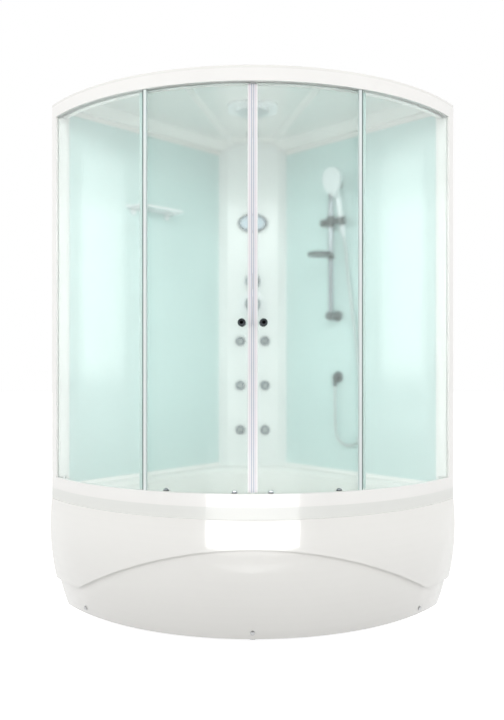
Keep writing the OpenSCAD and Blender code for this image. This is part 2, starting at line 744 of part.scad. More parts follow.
// Roof: a moulded cover with a lip over the rail, a coved ceiling and a raised centre
dome_half = [128, 223, 300];
dome_in = [246, 806, 1060];
function dome_pts(g) = concat(
    [for (i = [0:2]) [-(dome_half[i] - g), corner_y - dome_in[i] - (i == 0 ? g : i == 2 ? -g : 0)]],
    [for (i = [2:-1:0]) [dome_half[i] - g, corner_y - dome_in[i] - (i == 0 ? g : i == 2 ? -g : 0)]]
);
module ceiling_loft(z_low, low_in, z_high, high_in) hull() {
    slice(z_low, 0.5) polygon(outline(low_in, corner_r, 20));
    slice(z_high - 0.5, 0.5) polygon(outline(high_in, corner_r, 90));
}
module dome(g, z) hull() {
    slice(ceiling_z - 2) polygon(dome_pts(-g));
    slice(z - 0.5, 0.5) polygon(dome_pts(26 - g));
}
module column_pocket(g) slice(skirt_z - 1, ceiling_z - skirt_z + 1 + g) intersection() {
    wedge(panel_v - 6 - g);
    translate([0, corner_y]) rotate(225) square(column_edge + 2 + g);
    translate([-half_w, face_y - 1 - g]) square([2 * half_w, column_in + 1 + g]);
}
module column_pocket_outer() slice(roof_z, ceiling_z - roof_z + roof_t) intersection() {
    plan(10);
    translate([0, corner_y]) rotate(225) square(column_edge + 8);
    translate([-half_w, face_y - 6]) square([2 * half_w, column_in + 6]);
}
module roof() color("white") difference() {
    union() {
        slice(roof_z + seat_gap, roof_lip - seat_gap) plan(0);
        ceiling_loft(roof_z + roof_lip - 1, 14, ceiling_z + roof_t, cove_w - roof_t);
        dome(roof_t, dome_z + roof_t);
        column_pocket_outer();
        slice(skirt_z, roof_z - skirt_z + 1) difference() {
            intersection() {
                plan(panel_gap - 6);
                translate([0, arc_y]) circle(r = front_r - rail_w - 1, $fn = big_fn);
            }
            wedge(panel_v + 7);
        }
    }
    ceiling_loft(skirt_z - 1, panel_v + 7, ceiling_z, cove_w);
    dome(0, dome_z);
    column_pocket(0);
    for (s = [-1, 1]) on_wall(s) translate([column_edge - 37, panel_gap - gap, skirt_z - 1])
        cube([panel_front - column_edge + 38, panel_t + 2 * gap, 9]);
    translate([0, corner_y - overhead_in, ceiling_z]) cylinder(h = 60, r = feed_hole);
    translate([0, corner_y - riser_in, ceiling_z - 20]) cylinder(h = 60, r = 7 + hole_gap);
}

// Overhead shower and ceiling light
module rounded_plate(w, d, r, h) linear_extrude(h) {
    square([w - 2 * r, d], center = true);
    square([w, d - 2 * r], center = true);
    for (x = [-1, 1], y = [-1, 1]) translate([x * (w / 2 - r), y * (d / 2 - r)]) circle(r = r);
}
module overhead_shower() color("silver") translate([0, corner_y - overhead_in, 0]) {
    translate([0, 0, dome_z - plate_h - gap])
        rounded_plate(overhead_w, overhead_d, 0.34 * overhead_d, plate_h);
    translate([0, 0, dome_z - plate_h - spray_h]) cylinder(h = spray_h, r = spray_r);
    translate([0, 0, dome_z - 1]) cylinder(h = roof_t + spray_h, r = feed_r);
}
module overhead_nozzle_plate() color("whitesmoke")
translate([0, corner_y - overhead_in, dome_z - plate_h - spray_h - gap - 3]) {
    cylinder(h = 3, r = spray_r - 5);
    for (ring = [1:4]) for (k = [0:6 * ring - 1])
        translate([ring * 15 * cos(60 * k / ring), ring * 15 * sin(60 * k / ring), -2])
            cylinder(h = 2.5, r = 2, $fn = 16);
}
module ceiling_light() color("gainsboro") translate([0, corner_y - light_in, dome_z - gap]) {
    mirror([0, 0, 1]) rotate_extrude() polygon([[light_r - 9, 0], [light_r, 0], [light_r, 3],
        [light_r - 4, 7], [light_r - 9, 7]]);
    translate([0, 0, -5]) cylinder(h = 5, r = light_r - 9.2);
}

// Oval panel on the column
module oval(w, h, t) linear_extrude(t) scale([1, h / w]) circle(d = w, $fn = 60);
module oval_ring() color("silver") on_column(0, oval_z) translate([0, 0, gap]) difference() {
    hull() {
        oval(oval_w, oval_h, 6);
        oval(oval_w - 10, oval_h - 10, 14);
    }
    translate([0, 0, -1]) oval(oval_w - 2 * oval_rim, oval_h - 2 * oval_rim, 20);
}
module oval_face() color("#B9CFDF") on_column(0, oval_z) translate([0, 0, gap])
    oval(oval_w - 2 * oval_rim - 1, oval_h - 2 * oval_rim - 1, 9);

// Plates of the diverter and the mixer
module control_plates() color("silver") {
    on_column(0, diverter_z) translate([0, 0, gap]) rotate_extrude() polygon([[21, 0], [diverter_r, 0],
        [diverter_r, 4], [diverter_r - 5, 9], [21, 11]]);
    on_column(0, mixer_z) translate([0, 0, gap]) rotate_extrude() polygon([[31, 0], [mixer_r, 0],
        [mixer_r, 3], [mixer_r - 8, 8], [31, 10]]);
}
module diverter_knob() color("silver") on_column(0, diverter_z) {
    translate([0, 0, 12]) difference() {
        union() {
            cylinder(h = 18, r = diverter_knob_r);
            translate([0, 0, 18]) cylinder(h = 4, r1 = diverter_knob_r, r2 = diverter_knob_r - 4);
        }
        for (s = [-1, 1]) translate([s * diverter_knob_r, 0, 8]) cylinder(h = 20, r = 0.5 * diverter_knob_r);
    }
    translate([0, 0, -16]) cylinder(h = 29, r = stem_r);
}

// Mixing valve with the diverter's body above it, behind the column
module mixer_valve() color("#C9A86A") difference() {
    union() {
        on_column(0, mixer_z) translate([0, 0, -valve_depth]) cylinder(h = valve_depth + 4, r = valve_r);
        on_column(0, diverter_z) translate([0, 0, -diverter_depth])
            cylinder(h = diverter_depth - 2, r = diverter_body_r);
        translate([-inlet_gap / 2, face_y + inlet_in, mixer_z]) rotate([0, 90, 0])
            cylinder(h = inlet_gap, r = cross_r);
        for (s = [-1, 1]) translate([s * inlet_gap / 2, face_y + inlet_in, mixer_z]) {
            sphere(r = cross_r);
            rotate([-90, 0, 0]) {
                cylinder(h = inlet_len, r = inlet_r);
                translate([0, 0, 8]) cylinder(h = 12, r = 16, $fn = 6);
            }
        }
        translate([0, face_y + 45, mixer_z]) cylinder(h = diverter_z - mixer_z, r = 11);
    }
    on_column(0, diverter_z) translate([0, 0, -18]) cylinder(h = 20, r = stem_r + run_gap);
    for (s = [-1, 1]) translate([s * inlet_gap / 2, face_y + inlet_in + 11, mixer_z])
        rotate([-90, 0, 0]) cylinder(h = inlet_len, r = inlet_r - 2.5);
}
module mixer_cap() color("silver") on_column(0, mixer_z) difference() {
    union() {
        translate([0, 0, 11]) cylinder(h = cap_len - 4, r = mixer_cap_r);
        translate([0, 0, 7 + cap_len]) cylinder(h = 4, r1 = mixer_cap_r, r2 = mixer_cap_r - 4);
        translate([0, 0, 4 + gap]) cylinder(h = 8, r = 24);
    }
    translate([-lever_w / 2 - gap, -mixer_cap_r - 5, 11 + cap_len - 22])
        cube([lever_w + 2 * gap, 2 * mixer_cap_r + 10, 40]);
    translate([0, 0, 4 + pivot_d]) rotate([0, 90, 0])
        cylinder(h = 2 * mixer_cap_r - 24, r = 3 + run_gap, center = true);
}
module mixer_lever() color("silver") on_column(0, mixer_z) {
    translate([-lever_w / 2, -10, 4 + pivot_d - 3]) cube([lever_w, 18, 20]);
    translate([0, 0, 4 + pivot_d + 16]) linear_extrude(9) {
        translate([-lever_w / 2, -lever_len, 0]) square([lever_w, lever_len + 8]);
        translate([0, -lever_len]) circle(r = lever_w / 2);
    }
    translate([0, 0, 4 + pivot_d]) rotate([0, 90, 0]) cylinder(h = lever_w + 16, r = 3, center = true);
}

// Massage jets: a ring and socket through the column, with a ball nozzle in it
module jet_body() difference() {
    union() {
        rotate_extrude() polygon([[0, -jet_shank], [jet_shank_r, -jet_shank], [jet_shank_r, gap],
            [jet_r, gap], [jet_r, 3], [jet_r - 4, 7], [0, 7]]);
        translate([0, 0, -12]) cylinder(h = 6, r = jet_shank_r);
    }
    translate([0, 0, -6]) sphere(r = socket_r);
    translate([0, 0, -6]) cylinder(h = 5.2, r1 = throat_r + 0.9, r2 = throat_r - 0.1);
    translate([0, 0, -1]) cylinder(h = 2, r = throat_r);
    translate([0, 0, 0.5]) cylinder(h = 8, r1 = throat_r, r2 = throat_r + 4.3);
}
module jet_bodies() color("silver") for (s = [-1, 1], i = [0:2])
    on_column(s * jet_x, jet_z + i * jet_step) jet_body();
module jet_nozzle(s, i) color("gray") on_column(s * jet_x, jet_z + i * jet_step)
translate([0, 0, -6]) difference() {
    union() {
        sphere(r = ball_r);
        translate([0, 0, 8]) cylinder(h = 6, r = 6.5);
    }
    translate([0, 0, -2]) cylinder(h = 20, r = 2.5);
}

// Shelf on the left wall
module wall_shelf() color("white") on_wall(-1) translate([shelf_u, panel_v + gap, shelf_z]) difference() {
    union() {
        translate([0, 0, 0]) cube([shelf_len, shelf_d - 20, 6]);
        translate([20, 0, 0]) cube([shelf_len - 40, shelf_d, 6]);
        for (x = [20, shelf_len - 20]) translate([x, shelf_d - 20, 0]) cylinder(h = 6, r = 20);
        cube([shelf_len, 4, 16]);
        translate([20, shelf_d - 3, 0]) cube([shelf_len - 40, 3, 11]);
        for (x = [36, shelf_len - 36]) translate([x, 0, 0]) {
            rotate([-90, 0, 0]) translate([0, 14, 0]) cylinder(h = 8, r = 13);
            translate([-6, 0, -9]) cube([12, shelf_d - 34, 11]);
        }
    }
    for (k = [-2:2]) translate([shelf_len / 2 + k * 44 - 15, 34, -1]) cube([30, 6, 8]);
}

// Brackets of the shower bar
module wall_brackets() color("silver") {
    on_wall(1) for (z = [bar_z, bar_z + bar_gap]) translate([bar_u, panel_v + gap, z]) difference() {
        rotate([-90, 0, 0]) {
            cylinder(h = bar_off + bar_r + 6, r = 19);
            cylinder(h = 5, r = 25);
            translate([0, 0, bar_off + bar_r + 6]) cylinder(h = 3, r1 = 19, r2 = 16);
        }
        translate([0, bar_off - gap, -30]) cylinder(h = 60, r = bar_r + 0.1);
    }
}
module shower_bar() color("silver") on_wall(1) translate([bar_u, bar_v, bar_z - 22])
    cylinder(h = bar_gap + 44, r = bar_r);

// Slider with its side knob and the tilting holder
module across(u, r, h) translate([u, 0, 0]) rotate([0, 90, 0]) cylinder(h = h, r = r);
module bar_slider() color("#8A9694") on_wall(1) translate([bar_u, bar_v, slider_z]) difference() {
    union() {
        translate([0, 0, -slider_h / 2]) cylinder(h = slider_h, r = 19);
        across(0, 13, 39);
        across(-24, 13, 24);
    }
    translate([0, 0, -slider_h / 2 - 1]) cylinder(h = slider_h + 2, r = bar_r + gap);
    across(24, 5 + run_gap, 20);
    across(-30, 4 + run_gap, 15);
}
module slider_knob() color("#7C8886") on_wall(1) translate([bar_u, bar_v, slider_z]) {
    across(-26, 4, 10);
    across(-54, 16, 29.7);
    for (k = [0:7]) rotate([45 * k, 0, 0]) translate([0, 0, 15]) across(-53, 2.5, 24);
}
module at_holder() on_wall(1) translate([holder_u, bar_v, slider_z]) rotate([-lean_deg, 0, 0]) children();
module handset_holder() color("#6E7A78") {
    on_wall(1) translate([bar_u, bar_v, slider_z]) across(26, 5, holder_off - 26 - 14);
    at_holder() difference() {
        union() {
            translate([0, 0, -20]) cylinder(h = 36, r = 19);
            across(-holder_off + 39 + gap, 13, holder_off - 39 - gap - 12);
        }
        translate([0, 0, -21]) cylinder(h = 38, r1 = handle_r(-21) + gap, r2 = handle_r(17) + gap);
    }
}

// Hand shower: tapered handle with an oval head, a spray plate and the hose nut
function handle_r(z) = 11.5 + (z + handle_down) * 0.014;
module head_frame() translate([0, head_v, head_z]) rotate([-84, 0, 0]) children();
module egg(r, l, h) hull() {
    translate([0, -l / 2, 0]) cylinder(h = h, r = r, $fn = 32);
    translate([0, l / 2, 0]) cylinder(h = h, r = r - 5, $fn = 32);
}
module handset() color("white") at_holder() {
    translate([0, 0, -handle_down])
        cylinder(h = handle_down + handle_up, r1 = handle_r(-handle_down), r2 = handle_r(handle_up));
    hull() {
        translate([0, 0, handle_up - 1]) cylinder(h = 1, r = handle_r(handle_up), $fn = 32);
        head_frame() translate([0, 40, 0]) cylinder(h = 14, r = 26, $fn = 32);
    }
    head_frame() hull() {
        translate([0, 0, 6]) egg(52, 22, 11);
        translate([0, 0, -9]) egg(42, 22, 4);
    }
    translate([0, 0, -handle_down - nut_len]) cylinder(h = nut_len, r1 = hose_d / 2 + 1.5, r2 = 11.5);
}
module handset_faceplate() color("gainsboro") at_holder() head_frame() translate([0, 0, 17 + gap]) {
    egg(47, 22, 3);
    for (ring = [1:2]) for (k = [0:8 * ring - 1]) translate([ring * 17 * cos(45 * k / ring),
        ring * 17 * sin(45 * k / ring), 2]) cylinder(h = 3, r = 2, $fn = 16);
}

// Soap dish clamped on the bar
module soap_dish() color("#8A9694") on_wall(1) translate([bar_u, bar_v, dish_z]) difference() {
    union() {
        translate([0, 0, -14]) cylinder(h = 26, r = 18);
        translate([-9, 0, -8]) cube([18, 40, 10]);
        translate([-4, 78, -8]) linear_extrude(18) oval2d(52, 50);
    }
    translate([0, 0, -15]) cylinder(h = 28, r = bar_r + gap);
    translate([-4, 78, -4]) linear_extrude(20) oval2d(48.5, 46.5);
    for (k = [-3:3]) translate([-4 + k * 12 - 2.5, 60, -9]) cube([5, 36, 6]);
}
module oval2d(a, b) {
    r = min(a, b) - 8;
    for (x = [-1, 1], y = [-1, 1]) translate([x * (a - r), y * (b - r)]) circle(r = r);
    square([2 * (a - r), 2 * b], center = true);
    square([2 * a, 2 * (b - r)], center = true);
}

// Wall outlet with an elbow and the hose nut
module wall_outlet() color("#A9B4B2") on_wall(1) translate([outlet_u, panel_v, outlet_z]) {
    translate([0, gap, 0]) rotate([-90, 0, 0]) {
        cylinder(h = 5, r = 27);
        translate([0, 0, 5]) cylinder(h = 6, r1 = 27, r2 = 16);
        cylinder(h = outlet_v - panel_v, r = 11);
    }
    translate([0, -panel_t - 4 + gap, 0]) rotate([-90, 0, 0]) cylinder(h = panel_t + 6, r = 10);
    translate([0, outlet_v - panel_v, 0]) {
        sphere(r = 13);
        translate([0, 0, -26]) cylinder(h = 26, r = 9);
        translate([0, 0, hose_end[2] + gap - outlet_z])
            cylinder(h = outlet_z - hose_end[2] - gap - 14, r1 = hose_d / 2 + 1.5, r2 = 12);
    }
}

// Shower hose: hangs in a loop from the outlet to the hand shower
module shower_hose() color("#C9CFCE") {
    steps = 3;
    count = len(hose_route) - 1;
    pts = [for (i = [0:count - 1]) for (t = [0:steps - 1])
        if (!(t == 2 && i % 2 == 1)) wall_xyz(spline(hose_route, i, t / steps), 1)];
    tube(concat(pts, [wall_xyz(hose_route[count], 1)]), hose_d / 2, 10);
}

// Feed pipes: up to the overhead shower, down to the jets and along the wall to the outlet
module supply_pipes() color("lightgray") {
    y = face_y + 45;
    z = diverter_z;
    top = dome_z + 12;
    pipe([[0, y, z + 20 + gap], [0, y, z + 80], [0, corner_y - riser_in, z + 150],
        [0, corner_y - riser_in, top], [0, corner_y - overhead_in + feed_r + gap, top]], 6);
    pipe([[20 + gap, y, z], [60, y, z], wall_xyz([205, 8, z - 60], 1), wall_xyz([205, 8, outlet_z], 1),
        wall_xyz([outlet_u, 8, outlet_z], 1)], 5.5);
    low = jet_z - 40;
    high = jet_z + 2 * jet_step + 33;
    back = face_y + 40;
    pipe([[-20 - gap, y, z], [-110, y, z], [-110, back, high + 55], [-jet_x, back, high], [-jet_x, back, low],
        [jet_x, back, low], [jet_x, back, high - 25]], 7);
    for (s = [-1, 1], i = [0:2]) on_column(s * jet_x, jet_z + i * jet_step)
        translate([0, 0, -40]) cylinder(h = 10 - gap, r = 9);
}

tray();
apron();
base_frame();
levelling_feet();
apron_screws();
drain_body();
drain_plug();
top_rail();
bottom_rail();
edge_profiles();
wall_panels();
corner_column();
fixed_glass();
fixed_glass_seals();
roof();
overhead_shower();
overhead_nozzle_plate();
ceiling_light();
left_door_glass();
right_door_glass();
left_door_seals();
right_door_seals();
left_door_knob();
right_door_knob();
left_roller_carriers();
right_roller_carriers();
roller(-lead_deg, top_wheel_z);  // left_upper_lead_roller
roller(-trail_deg, top_wheel_z);  // left_upper_trail_roller
roller(-lead_deg, bottom_wheel_z);  // left_lower_lead_roller
roller(-trail_deg, bottom_wheel_z);  // left_lower_trail_roller
roller(lead_deg, top_wheel_z);  // right_upper_lead_roller
roller(trail_deg, top_wheel_z);  // right_upper_trail_roller
roller(lead_deg, bottom_wheel_z);  // right_lower_lead_roller
roller(trail_deg, bottom_wheel_z);  // right_lower_trail_roller
oval_ring();
oval_face();
control_plates();
diverter_knob();
mixer_valve();
mixer_cap();
mixer_lever();
jet_bodies();
jet_nozzle(-1, 0);  // left_low_jet
jet_nozzle(-1, 1);  // left_mid_jet
jet_nozzle(-1, 2);  // left_high_jet
jet_nozzle(1, 0);  // right_low_jet
jet_nozzle(1, 1);  // right_mid_jet
jet_nozzle(1, 2);  // right_high_jet
wall_shelf();
wall_brackets();
shower_bar();
bar_slider();
slider_knob();
handset_holder();
handset();
handset_faceplate();
soap_dish();
wall_outlet();
shower_hose();
supply_pipes();
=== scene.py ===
import json
import math
import bpy
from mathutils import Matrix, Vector


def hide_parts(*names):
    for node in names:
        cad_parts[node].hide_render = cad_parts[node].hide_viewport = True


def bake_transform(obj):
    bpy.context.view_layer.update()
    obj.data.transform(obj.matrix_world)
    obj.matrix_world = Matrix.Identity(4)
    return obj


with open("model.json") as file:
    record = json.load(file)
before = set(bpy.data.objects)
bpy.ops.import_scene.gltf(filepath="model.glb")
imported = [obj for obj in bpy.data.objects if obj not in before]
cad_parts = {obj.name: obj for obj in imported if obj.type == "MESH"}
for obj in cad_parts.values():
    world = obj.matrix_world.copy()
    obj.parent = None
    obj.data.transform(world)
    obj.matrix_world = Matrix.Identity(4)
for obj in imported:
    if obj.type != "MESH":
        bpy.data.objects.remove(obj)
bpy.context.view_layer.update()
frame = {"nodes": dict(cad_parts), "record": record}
nodes = frame["nodes"]
scene = bpy.context.scene

# Camera: level, at chest height, in front of the curved front
CAMERA_PLACE = (0.0, -3.2226, 1.056)
SENSOR_WIDTH_MM = 36
FOCAL_LENGTH_MM = 35.75
FRAMING_SHIFT = -0.0009
FARTHEST_SEEN = 60

cam = bpy.data.objects.new("camera", bpy.data.cameras.new("camera"))
scene.collection.objects.link(cam)
cam.location = CAMERA_PLACE
cam.rotation_euler = (math.radians(90), 0, 0)
cam.data.sensor_width = SENSOR_WIDTH_MM
cam.data.lens = FOCAL_LENGTH_MM
cam.data.shift_x = FRAMING_SHIFT
cam.data.clip_end = FARTHEST_SEEN
scene.camera = cam
scene.view_settings.view_transform = "Standard"

# Shower hose: from the hand shower down in a loop and up to the wall outlet
# Each point is the distance along the right wall, out from it and above the floor, in millimetres
HOSE_ROUTE = [
    (665, 60, 1637), (665, 50, 1597), (666, 43, 1555), (669, 40, 1500), (676, 38, 1430),
    (687, 36, 1350), (700, 35, 1260), (712, 34, 1170), (723, 34, 1080), (733, 34, 990),
    (740, 34, 900), (743, 34, 810), (743, 34, 730), (734, 35, 690), (708, 36, 662),
    (674, 38, 652), (640, 40, 662), (614, 43, 690), (605, 46, 730), (604, 49, 800),
    (605, 50, 870), (605, 50, 931),
]
# The y of the corner where the faces of the two walls meet, in metres
CORNER_Y = 0.6504128
HOSE_RADIUS = 0.007
HOSE_SIDES = 16
HOSE_STEPS = 10

# The hose's top, down to the fourth point of the route, is a piece of its own, and the rest of the hose below
# it another
HOSE_SPLIT = 3 * HOSE_STEPS


def on_right_wall(along, out, height):
    """A point in metres, from its place on the right wall, which runs at 45 degrees from the corner"""
    x = (along - out) / math.sqrt(2)
    y = (along + out) / math.sqrt(2)
    return Vector((x / 1000, CORNER_Y - y / 1000, height / 1000))


def smooth_line(points, steps):
    """Points along one smooth curve through the route: cubic arcs with handles a third of a step long"""
    last = len(points) - 1
    handles = []
    for i in range(last + 1):
        spans = 2 if 0 < i < last else 1
        handles.append((points[min(i + 1, last)] - points[max(i - 1, 0)]) / (3 * spans))
    line = []
    for i in range(last):
        a, d = points[i], points[i + 1]
        b, c = a + handles[i], d - handles[i + 1]
        for k in range(steps):
            t = k / steps
            line.append(a * (1 - t) ** 3 + b * 3 * t * (1 - t) ** 2 + c * 3 * t * t * (1 - t) + d * t ** 3)
    return line + [points[last]]


def rings_along(line, radius, sides):
    """A ring of points round each point of the line, turned as little as possible from ring to ring"""
    rings = []
    across = Vector((1, 0, 0))
    turns = [2 * math.pi * k / sides for k in range(sides)]
    for i, point in enumerate(line):
        along = (line[min(i + 1, len(line) - 1)] - line[max(i - 1, 0)]).normalized()
        across = (across - along * across.dot(along)).normalized()
        other = along.cross(across)
        rings.append([point + (across * math.cos(turn) + other * math.sin(turn)) * radius for turn in turns])
    return rings


def hose_tube(name, rings):
    """A closed tube through the rings, smooth along its sides and sharp round its two ends"""
    sides = len(rings[0])
    end_start = (len(rings) - 1) * sides
    faces = []
    for start in range(0, end_start, sides):
        for k in range(sides):
            after_k = (k + 1) % sides
            faces.append((start + k, start + after_k, start + sides + after_k, start + sides + k))
    first_cap = tuple(reversed(range(sides)))
    end_cap = tuple(range(end_start, end_start + sides))
    mesh = bpy.data.meshes.new(name)
    mesh.from_pydata([v for ring in rings for v in ring], [], faces + [first_cap, end_cap])
    for polygon in mesh.polygons:
        polygon.use_smooth = len(polygon.vertices) == 4
    for edge in mesh.edges:
        edge.use_edge_sharp = any(all(v in cap for v in edge.vertices) for cap in (first_cap, end_cap))
    obj = bpy.data.objects.new(name, mesh)
    scene.collection.objects.link(obj)
    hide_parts("shower_hose")
    return obj


hose_line = smooth_line([on_right_wall(*p) for p in HOSE_ROUTE], HOSE_STEPS)
hose_rings = rings_along(hose_line, HOSE_RADIUS, HOSE_SIDES)
hose = hose_tube("hose_sleeve", hose_rings[HOSE_SPLIT:])
hose_top = hose_tube("hose_top", hose_rings[:HOSE_SPLIT + 1])
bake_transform(hose)
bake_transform(hose_top)

# Materials: a colour and a roughness that vary a little over the surface, with a coat or a fine bump for some
NOISE_DETAIL = 3
DARKEST_AT, LIGHTEST_AT = 0.35, 0.65
COAT_ROUGHNESS = 0.06
BUMP_FINENESS = 30
BUMP_HEIGHT = 0.0005

# Satin glass: its index, and the tint of the light that passes it
GLASS_INDEX = 1.45
GLASS_PASSES = (0.965, 0.98, 0.977, 1)


def srgb(text):
    """A colour as a shader takes it, from its hex code as a screen shows it"""
    parts = [int(text[i:i + 2], 16) / 255 for i in (0, 2, 4)]
    return tuple(c / 12.92 if c <= 0.04045 else ((c + 0.055) / 1.055) ** 2.4 for c in parts) + (1.0,)


def material(name, color, rough, metallic=0.0, vary=0.03, scale=6.0, bump=0.0, coat=0.0, rough_vary=0.05):
    """A finish with noise of that scale in its colour, by the share vary, and in its roughness"""
    m = bpy.data.materials.new(name)
    m.use_nodes = True
    n, link = m.node_tree.nodes, m.node_tree.links.new
    bsdf = n["Principled BSDF"]
    coord = n.new("ShaderNodeTexCoord")
    noise = n.new("ShaderNodeTexNoise")
    noise.inputs["Scale"].default_value = scale
    noise.inputs["Detail"].default_value = NOISE_DETAIL
    ramp = n.new("ShaderNodeValToRGB")
    dark, light = ramp.color_ramp.elements
    dark.position, light.position = DARKEST_AT, LIGHTEST_AT
    red_green_blue = srgb(color)[:3]
    dark.color = tuple(c * (1 - vary) for c in red_green_blue) + (1.0,)
    light.color = tuple(min(1.0, c * (1 + vary)) for c in red_green_blue) + (1.0,)
    gloss = n.new("ShaderNodeMapRange")
    gloss.inputs["To Min"].default_value = max(0.0, rough - rough_vary)
    gloss.inputs["To Max"].default_value = min(1.0, rough + rough_vary)
    link(coord.outputs["Object"], noise.inputs["Vector"])
    link(noise.outputs["Fac"], ramp.inputs["Fac"])
    link(noise.outputs["Fac"], gloss.inputs["Value"])
    link(ramp.outputs["Color"], bsdf.inputs["Base Color"])
    link(gloss.outputs["Result"], bsdf.inputs["Roughness"])
    bsdf.inputs["Metallic"].default_value = metallic
    bsdf.inputs["Coat Weight"].default_value = coat
    bsdf.inputs["Coat Roughness"].default_value = COAT_ROUGHNESS
    if bump:
        fine = n.new("ShaderNodeTexNoise")
        fine.inputs["Scale"].default_value = scale * BUMP_FINENESS
        height = n.new("ShaderNodeBump")
        height.inputs["Strength"].default_value = bump
        height.inputs["Distance"].default_value = BUMP_HEIGHT
        link(coord.outputs["Object"], fine.inputs["Vector"])
        link(fine.outputs["Fac"], height.inputs["Height"])
        link(height.outputs["Normal"], bsdf.inputs["Normal"])
    return m


def glass_material(name, color, rough, haze, mirrors=1.0):
    """Satin glass: haze is its milky share, and mirrors how much of a clear pane's reflection it keeps"""
    m = material(name, color, rough, vary=0.01, scale=2.0, rough_vary=0.01)
    n, link = m.node_tree.nodes, m.node_tree.links.new
    bsdf = n["Principled BSDF"]
    bsdf.inputs["Transmission Weight"].default_value = 1 - haze
    bsdf.inputs["IOR"].default_value = GLASS_INDEX
    bsdf.inputs["Specular Tint"].default_value = (mirrors, mirrors, mirrors, 1)
    path = n.new("ShaderNodeLightPath")
    clear = n.new("ShaderNodeBsdfTransparent")
    clear.inputs["Color"].default_value = GLASS_PASSES
    mix = n.new("ShaderNodeMixShader")
    link(path.outputs["Is Shadow Ray"], mix.inputs["Fac"])
    link(bsdf.outputs["BSDF"], mix.inputs[1])
    link(clear.outputs["BSDF"], mix.inputs[2])
    link(mix.outputs["Shader"], n["Material Output"].inputs["Surface"])
    return m


# Seals, coloured by the distance from the cabin's middle plane in millimetres: painted highlights and shade,
# pale and darker stripes that stand in for the light on the magnetic strips' rounded profile, and a dark
# stripe where a door meets its fixed panel
SEAL_SHADING_STRIPES = [
    (0.0, "F4F5F7"), (1.8, "C6C9D6"), (5.0, "F5F5F8"), (9.0, "EDE7EC"), (13.0, "FBFBFC"), (22.0, "F2F8F7"),
    (396.0, "D3DFDE"), (401.0, "EFF6F5"), (411.5, "616D6B"), (416.5, "B4CCC7"),
]
SEAL_SPAN_MM = 500
SEAL_CLOUDING = 0.06


def seal_material():
    m = material("seal", "DFECEC", 0.3, vary=0.01, scale=14)
    n, link = m.node_tree.nodes, m.node_tree.links.new
    split = n.new("ShaderNodeSeparateXYZ")
    size = n.new("ShaderNodeMath")
    size.operation = "ABSOLUTE"
    share = n.new("ShaderNodeMath")
    share.operation = "MULTIPLY"
    share.inputs[1].default_value = 1000 / SEAL_SPAN_MM
    ramp = n.new("ShaderNodeValToRGB")
    ramp.color_ramp.interpolation = "CONSTANT"
    while len(ramp.color_ramp.elements) < len(SEAL_SHADING_STRIPES):
        ramp.color_ramp.elements.new(0.5)
    for element, (distance, _) in zip(ramp.color_ramp.elements, SEAL_SHADING_STRIPES):
        element.position = distance / SEAL_SPAN_MM
    for element, (_, color) in zip(ramp.color_ramp.elements, SEAL_SHADING_STRIPES):
        element.color = srgb(color)
    tone = n.new("ShaderNodeMix")
    tone.data_type = "RGBA"
    tone.blend_type = "MULTIPLY"
    tone.inputs["Factor"].default_value = SEAL_CLOUDING
    link(n["Texture Coordinate"].outputs["Object"], split.inputs["Vector"])
    link(split.outputs["X"], size.inputs[0])
    link(size.outputs[0], share.inputs[0])
    link(share.outputs[0], ramp.inputs["Fac"])
    link(ramp.outputs["Color"], tone.inputs["A"])
    link(n["Noise Texture"].outputs["Color"], tone.inputs["B"])
    link(tone.outputs["Result"], n["Principled BSDF"].inputs["Base Color"])
    return m


